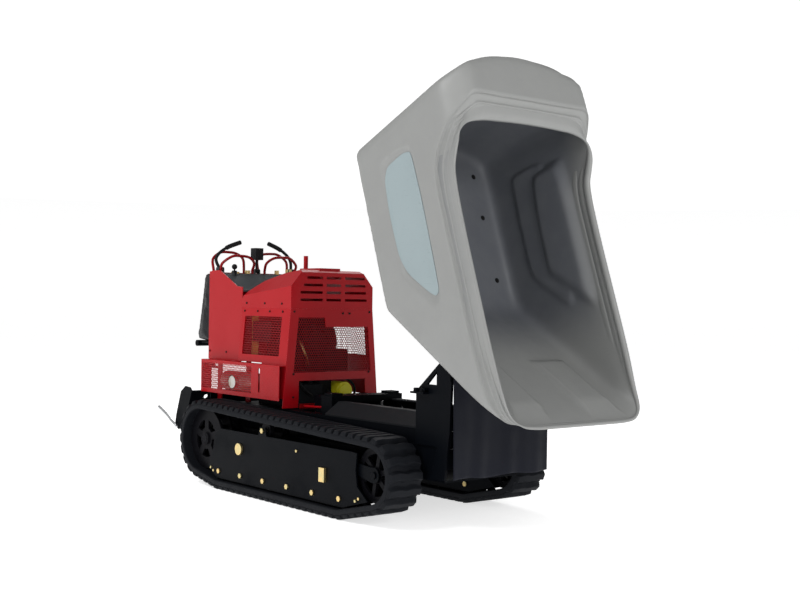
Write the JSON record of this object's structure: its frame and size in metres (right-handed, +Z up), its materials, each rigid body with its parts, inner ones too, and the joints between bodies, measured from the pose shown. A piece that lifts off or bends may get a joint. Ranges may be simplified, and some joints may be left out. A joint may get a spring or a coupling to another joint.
{
  "type": "power wheelbarrow",
  "caption": "Tracked walk-behind power wheelbarrow with a tipping plastic tub, rubber tracks, a red engine cover, control levers and a fold-down operator platform.",
  "frame": {"origin": "on the ground under the middle of the whole machine's bounding box, with the tub tipped", "axes": "+X forwards, towards the tub; +Y to the operator's left; +Z up; ground at z = 0"},
  "size_m": [2.6398, 0.88, 1.8808],
  "materials": {
    "black_paint": "satin black powder coat",
    "dark_casting": "dark painted casting",
    "black_plastic": "textured black plastic",
    "track_rubber": "matt moulded rubber",
    "wheel_black": "semi-gloss black paint",
    "yellow_zinc": "yellow zinc plating",
    "muffler_steel": "heat-dulled steel",
    "grey_aluminium": "cast aluminium",
    "yellow_paint": "gloss yellow",
    "red_paint": "gloss red powder coat",
    "grey_panel": "satin grey",
    "pad_vinyl": "black vinyl cushion",
    "black_screws": "black oxide",
    "grip_rubber": "soft black grip",
    "bright_steel": "polished steel",
    "apron_rubber": "smooth rubber sheet",
    "tub_plastic": "grey rotomoulded polyethylene"
  },
  "bodies": {
    "chassis": {"chassis_frame": "black_paint", "front_upright": "black_paint", "tub_rest": "black_paint", "hydraulic_tank": "black_paint", "deck_guard": "black_plastic", "track_frame_right": "black_paint", "track_frame_left": "black_paint", "track_right": "track_rubber", "track_left": "track_rubber", "roller_axles": "yellow_zinc", "frame_plugs": "yellow_zinc", "idler_forks": "black_paint", "drive_motors": "dark_casting", "engine_block": "dark_casting", "engine_blower": "dark_casting", "muffler": "muffler_steel", "hydraulic_pump": "grey_aluminium", "hydraulic_filter": "yellow_paint", "battery": "black_plastic", "front_panel": "red_paint", "side_panels": "red_paint", "cover_mesh": "red_paint", "hood": "red_paint", "rear_cowl": "red_paint", "muffler_guard": "red_paint", "control_panel": "grey_panel", "guard_hoops": "red_paint", "console_fittings": "yellow_zinc", "thigh_pad": "pad_vinyl", "pad_bracket": "black_paint", "cover_screws": "black_screws", "apron": "apron_rubber"},
    "sprocket_right": {"sprocket_right": "wheel_black"},
    "sprocket_left": {"sprocket_left": "wheel_black"},
    "idler_right": {"idler_right": "wheel_black"},
    "idler_left": {"idler_left": "wheel_black"},
    "roller_right_1": {"roller_right_1": "wheel_black"},
    "roller_right_2": {"roller_right_2": "wheel_black"},
    "roller_right_3": {"roller_right_3": "wheel_black"},
    "roller_right_4": {"roller_right_4": "wheel_black"},
    "roller_right_5": {"roller_right_5": "wheel_black"},
    "roller_right_6": {"roller_right_6": "wheel_black"},
    "roller_left_1": {"roller_left_1": "wheel_black"},
    "roller_left_2": {"roller_left_2": "wheel_black"},
    "roller_left_3": {"roller_left_3": "wheel_black"},
    "roller_left_4": {"roller_left_4": "wheel_black"},
    "roller_left_5": {"roller_left_5": "wheel_black"},
    "roller_left_6": {"roller_left_6": "wheel_black"},
    "carrier_right": {"carrier_right": "wheel_black"},
    "carrier_left": {"carrier_left": "wheel_black"},
    "traction_lever_right": {"traction_lever_right": "grip_rubber"},
    "traction_lever_left": {"traction_lever_left": "grip_rubber"},
    "dump_lever": {"dump_lever": "grip_rubber"},
    "throttle_lever": {"throttle_lever": "grip_rubber"},
    "platform": {"platform": "black_paint", "platform_bar": "bright_steel"},
    "lift_barrel": {"lift_barrel": "black_paint"},
    "lift_rod": {"lift_rod": "bright_steel"},
    "tub": {"tub_cradle": "black_paint", "tub": "tub_plastic"}
  },
  "joints": [
    {"name": "sprocket_right_spin", "type": "hinge", "parent": "chassis", "child": "sprocket_right", "pos_m": [-0.76595, -0.355, 0.223], "axis": [0, 1, 0], "continuous": true},
    {"name": "idler_right_spin", "type": "hinge", "parent": "chassis", "child": "idler_right", "pos_m": [0.57005, -0.355, 0.206], "axis": [0, 1, 0], "continuous": true},
    {"name": "carrier_right_spin", "type": "hinge", "parent": "chassis", "child": "carrier_right", "pos_m": [-0.22487, -0.355, 0.31182], "axis": [0, 1, 0], "continuous": true},
    {"name": "roller_right_1_spin", "type": "hinge", "parent": "chassis", "child": "roller_right_1", "pos_m": [-0.59795, -0.355, 0.086], "axis": [0, 1, 0], "continuous": true},
    {"name": "roller_right_2_spin", "type": "hinge", "parent": "chassis", "child": "roller_right_2", "pos_m": [-0.40595, -0.355, 0.086], "axis": [0, 1, 0], "continuous": true},
    {"name": "roller_right_3_spin", "type": "hinge", "parent": "chassis", "child": "roller_right_3", "pos_m": [-0.21395, -0.355, 0.086], "axis": [0, 1, 0], "continuous": true},
    {"name": "roller_right_4_spin", "type": "hinge", "parent": "chassis", "child": "roller_right_4", "pos_m": [-0.02195, -0.355, 0.086], "axis": [0, 1, 0], "continuous": true},
    {"name": "roller_right_5_spin", "type": "hinge", "parent": "chassis", "child": "roller_right_5", "pos_m": [0.17005, -0.355, 0.086], "axis": [0, 1, 0], "continuous": true},
    {"name": "roller_right_6_spin", "type": "hinge", "parent": "chassis", "child": "roller_right_6", "pos_m": [0.36205, -0.355, 0.086], "axis": [0, 1, 0], "continuous": true},
    {"name": "sprocket_left_spin", "type": "hinge", "parent": "chassis", "child": "sprocket_left", "pos_m": [-0.76595, 0.355, 0.223], "axis": [0, 1, 0], "continuous": true},
    {"name": "idler_left_spin", "type": "hinge", "parent": "chassis", "child": "idler_left", "pos_m": [0.57005, 0.355, 0.206], "axis": [0, 1, 0], "continuous": true},
    {"name": "carrier_left_spin", "type": "hinge", "parent": "chassis", "child": "carrier_left", "pos_m": [-0.22487, 0.355, 0.31182], "axis": [0, 1, 0], "continuous": true},
    {"name": "roller_left_1_spin", "type": "hinge", "parent": "chassis", "child": "roller_left_1", "pos_m": [-0.59795, 0.355, 0.086], "axis": [0, 1, 0], "continuous": true},
    {"name": "roller_left_2_spin", "type": "hinge", "parent": "chassis", "child": "roller_left_2", "pos_m": [-0.40595, 0.355, 0.086], "axis": [0, 1, 0], "continuous": true},
    {"name": "roller_left_3_spin", "type": "hinge", "parent": "chassis", "child": "roller_left_3", "pos_m": [-0.21395, 0.355, 0.086], "axis": [0, 1, 0], "continuous": true},
    {"name": "roller_left_4_spin", "type": "hinge", "parent": "chassis", "child": "roller_left_4", "pos_m": [-0.02195, 0.355, 0.086], "axis": [0, 1, 0], "continuous": true},
    {"name": "roller_left_5_spin", "type": "hinge", "parent": "chassis", "child": "roller_left_5", "pos_m": [0.17005, 0.355, 0.086], "axis": [0, 1, 0], "continuous": true},
    {"name": "roller_left_6_spin", "type": "hinge", "parent": "chassis", "child": "roller_left_6", "pos_m": [0.36205, 0.355, 0.086], "axis": [0, 1, 0], "continuous": true},
    {"name": "tub_dump", "type": "hinge", "parent": "chassis", "child": "tub", "pos_m": [0.84605, 0, 0.662], "axis": [0, 1, 0], "range_deg": [-71, 0]},
    {"name": "lift_swing", "type": "hinge", "parent": "chassis", "child": "lift_barrel", "pos_m": [0.25805, 0.095, 0.25], "axis": [0, 1, 0], "range_deg": [0, 29.86]},
    {"name": "lift_stroke", "type": "slide", "parent": "lift_barrel", "child": "lift_rod", "axis": [0.5134, 0, 0.8581], "range_m": [-0.20837, 0]},
    {"name": "platform_fold", "type": "hinge", "parent": "chassis", "child": "platform", "pos_m": [-1.08995, 0, 0.262], "axis": [0, 1, 0], "range_deg": [-112, 0]},
    {"name": "traction_right", "type": "hinge", "parent": "chassis", "child": "traction_lever_right", "pos_m": [-0.95395, -0.217, 1.058], "axis": [0, 1, 0], "range_deg": [-15, 15]},
    {"name": "traction_left", "type": "hinge", "parent": "chassis", "child": "traction_lever_left", "pos_m": [-0.95395, 0.217, 1.058], "axis": [0, 1, 0], "range_deg": [-15, 15]},
    {"name": "dump_control", "type": "hinge", "parent": "chassis", "child": "dump_lever", "pos_m": [-0.95195, 0, 1.054], "axis": [0, 1, 0], "range_deg": [-15, 15]},
    {"name": "throttle", "type": "hinge", "parent": "chassis", "child": "throttle_lever", "pos_m": [-0.89195, -0.17, 1.044], "axis": [0, 1, 0], "range_deg": [-20, 20]}
  ],
  "couplings": [
    {"joint": "idler_right_spin", "follows": "sprocket_right_spin", "ratio": 1.2895},
    {"joint": "carrier_right_spin", "follows": "sprocket_right_spin", "ratio": 3.8684},
    {"joint": "roller_right_1_spin", "follows": "sprocket_right_spin", "ratio": 3.4186},
    {"joint": "roller_right_2_spin", "follows": "sprocket_right_spin", "ratio": 3.4186},
    {"joint": "roller_right_3_spin", "follows": "sprocket_right_spin", "ratio": 3.4186},
    {"joint": "roller_right_4_spin", "follows": "sprocket_right_spin", "ratio": 3.4186},
    {"joint": "roller_right_5_spin", "follows": "sprocket_right_spin", "ratio": 3.4186},
    {"joint": "roller_right_6_spin", "follows": "sprocket_right_spin", "ratio": 3.4186},
    {"joint": "idler_left_spin", "follows": "sprocket_left_spin", "ratio": 1.2895},
    {"joint": "carrier_left_spin", "follows": "sprocket_left_spin", "ratio": 3.8684},
    {"joint": "roller_left_1_spin", "follows": "sprocket_left_spin", "ratio": 3.4186},
    {"joint": "roller_left_2_spin", "follows": "sprocket_left_spin", "ratio": 3.4186},
    {"joint": "roller_left_3_spin", "follows": "sprocket_left_spin", "ratio": 3.4186},
    {"joint": "roller_left_4_spin", "follows": "sprocket_left_spin", "ratio": 3.4186},
    {"joint": "roller_left_5_spin", "follows": "sprocket_left_spin", "ratio": 3.4186},
    {"joint": "roller_left_6_spin", "follows": "sprocket_left_spin", "ratio": 3.4186},
    {"joint": "lift_swing", "follows": "tub_dump", "ratio": -0.42054},
    {"joint": "lift_stroke", "follows": "tub_dump", "m_per_rad": 0.16815}
  ]
}
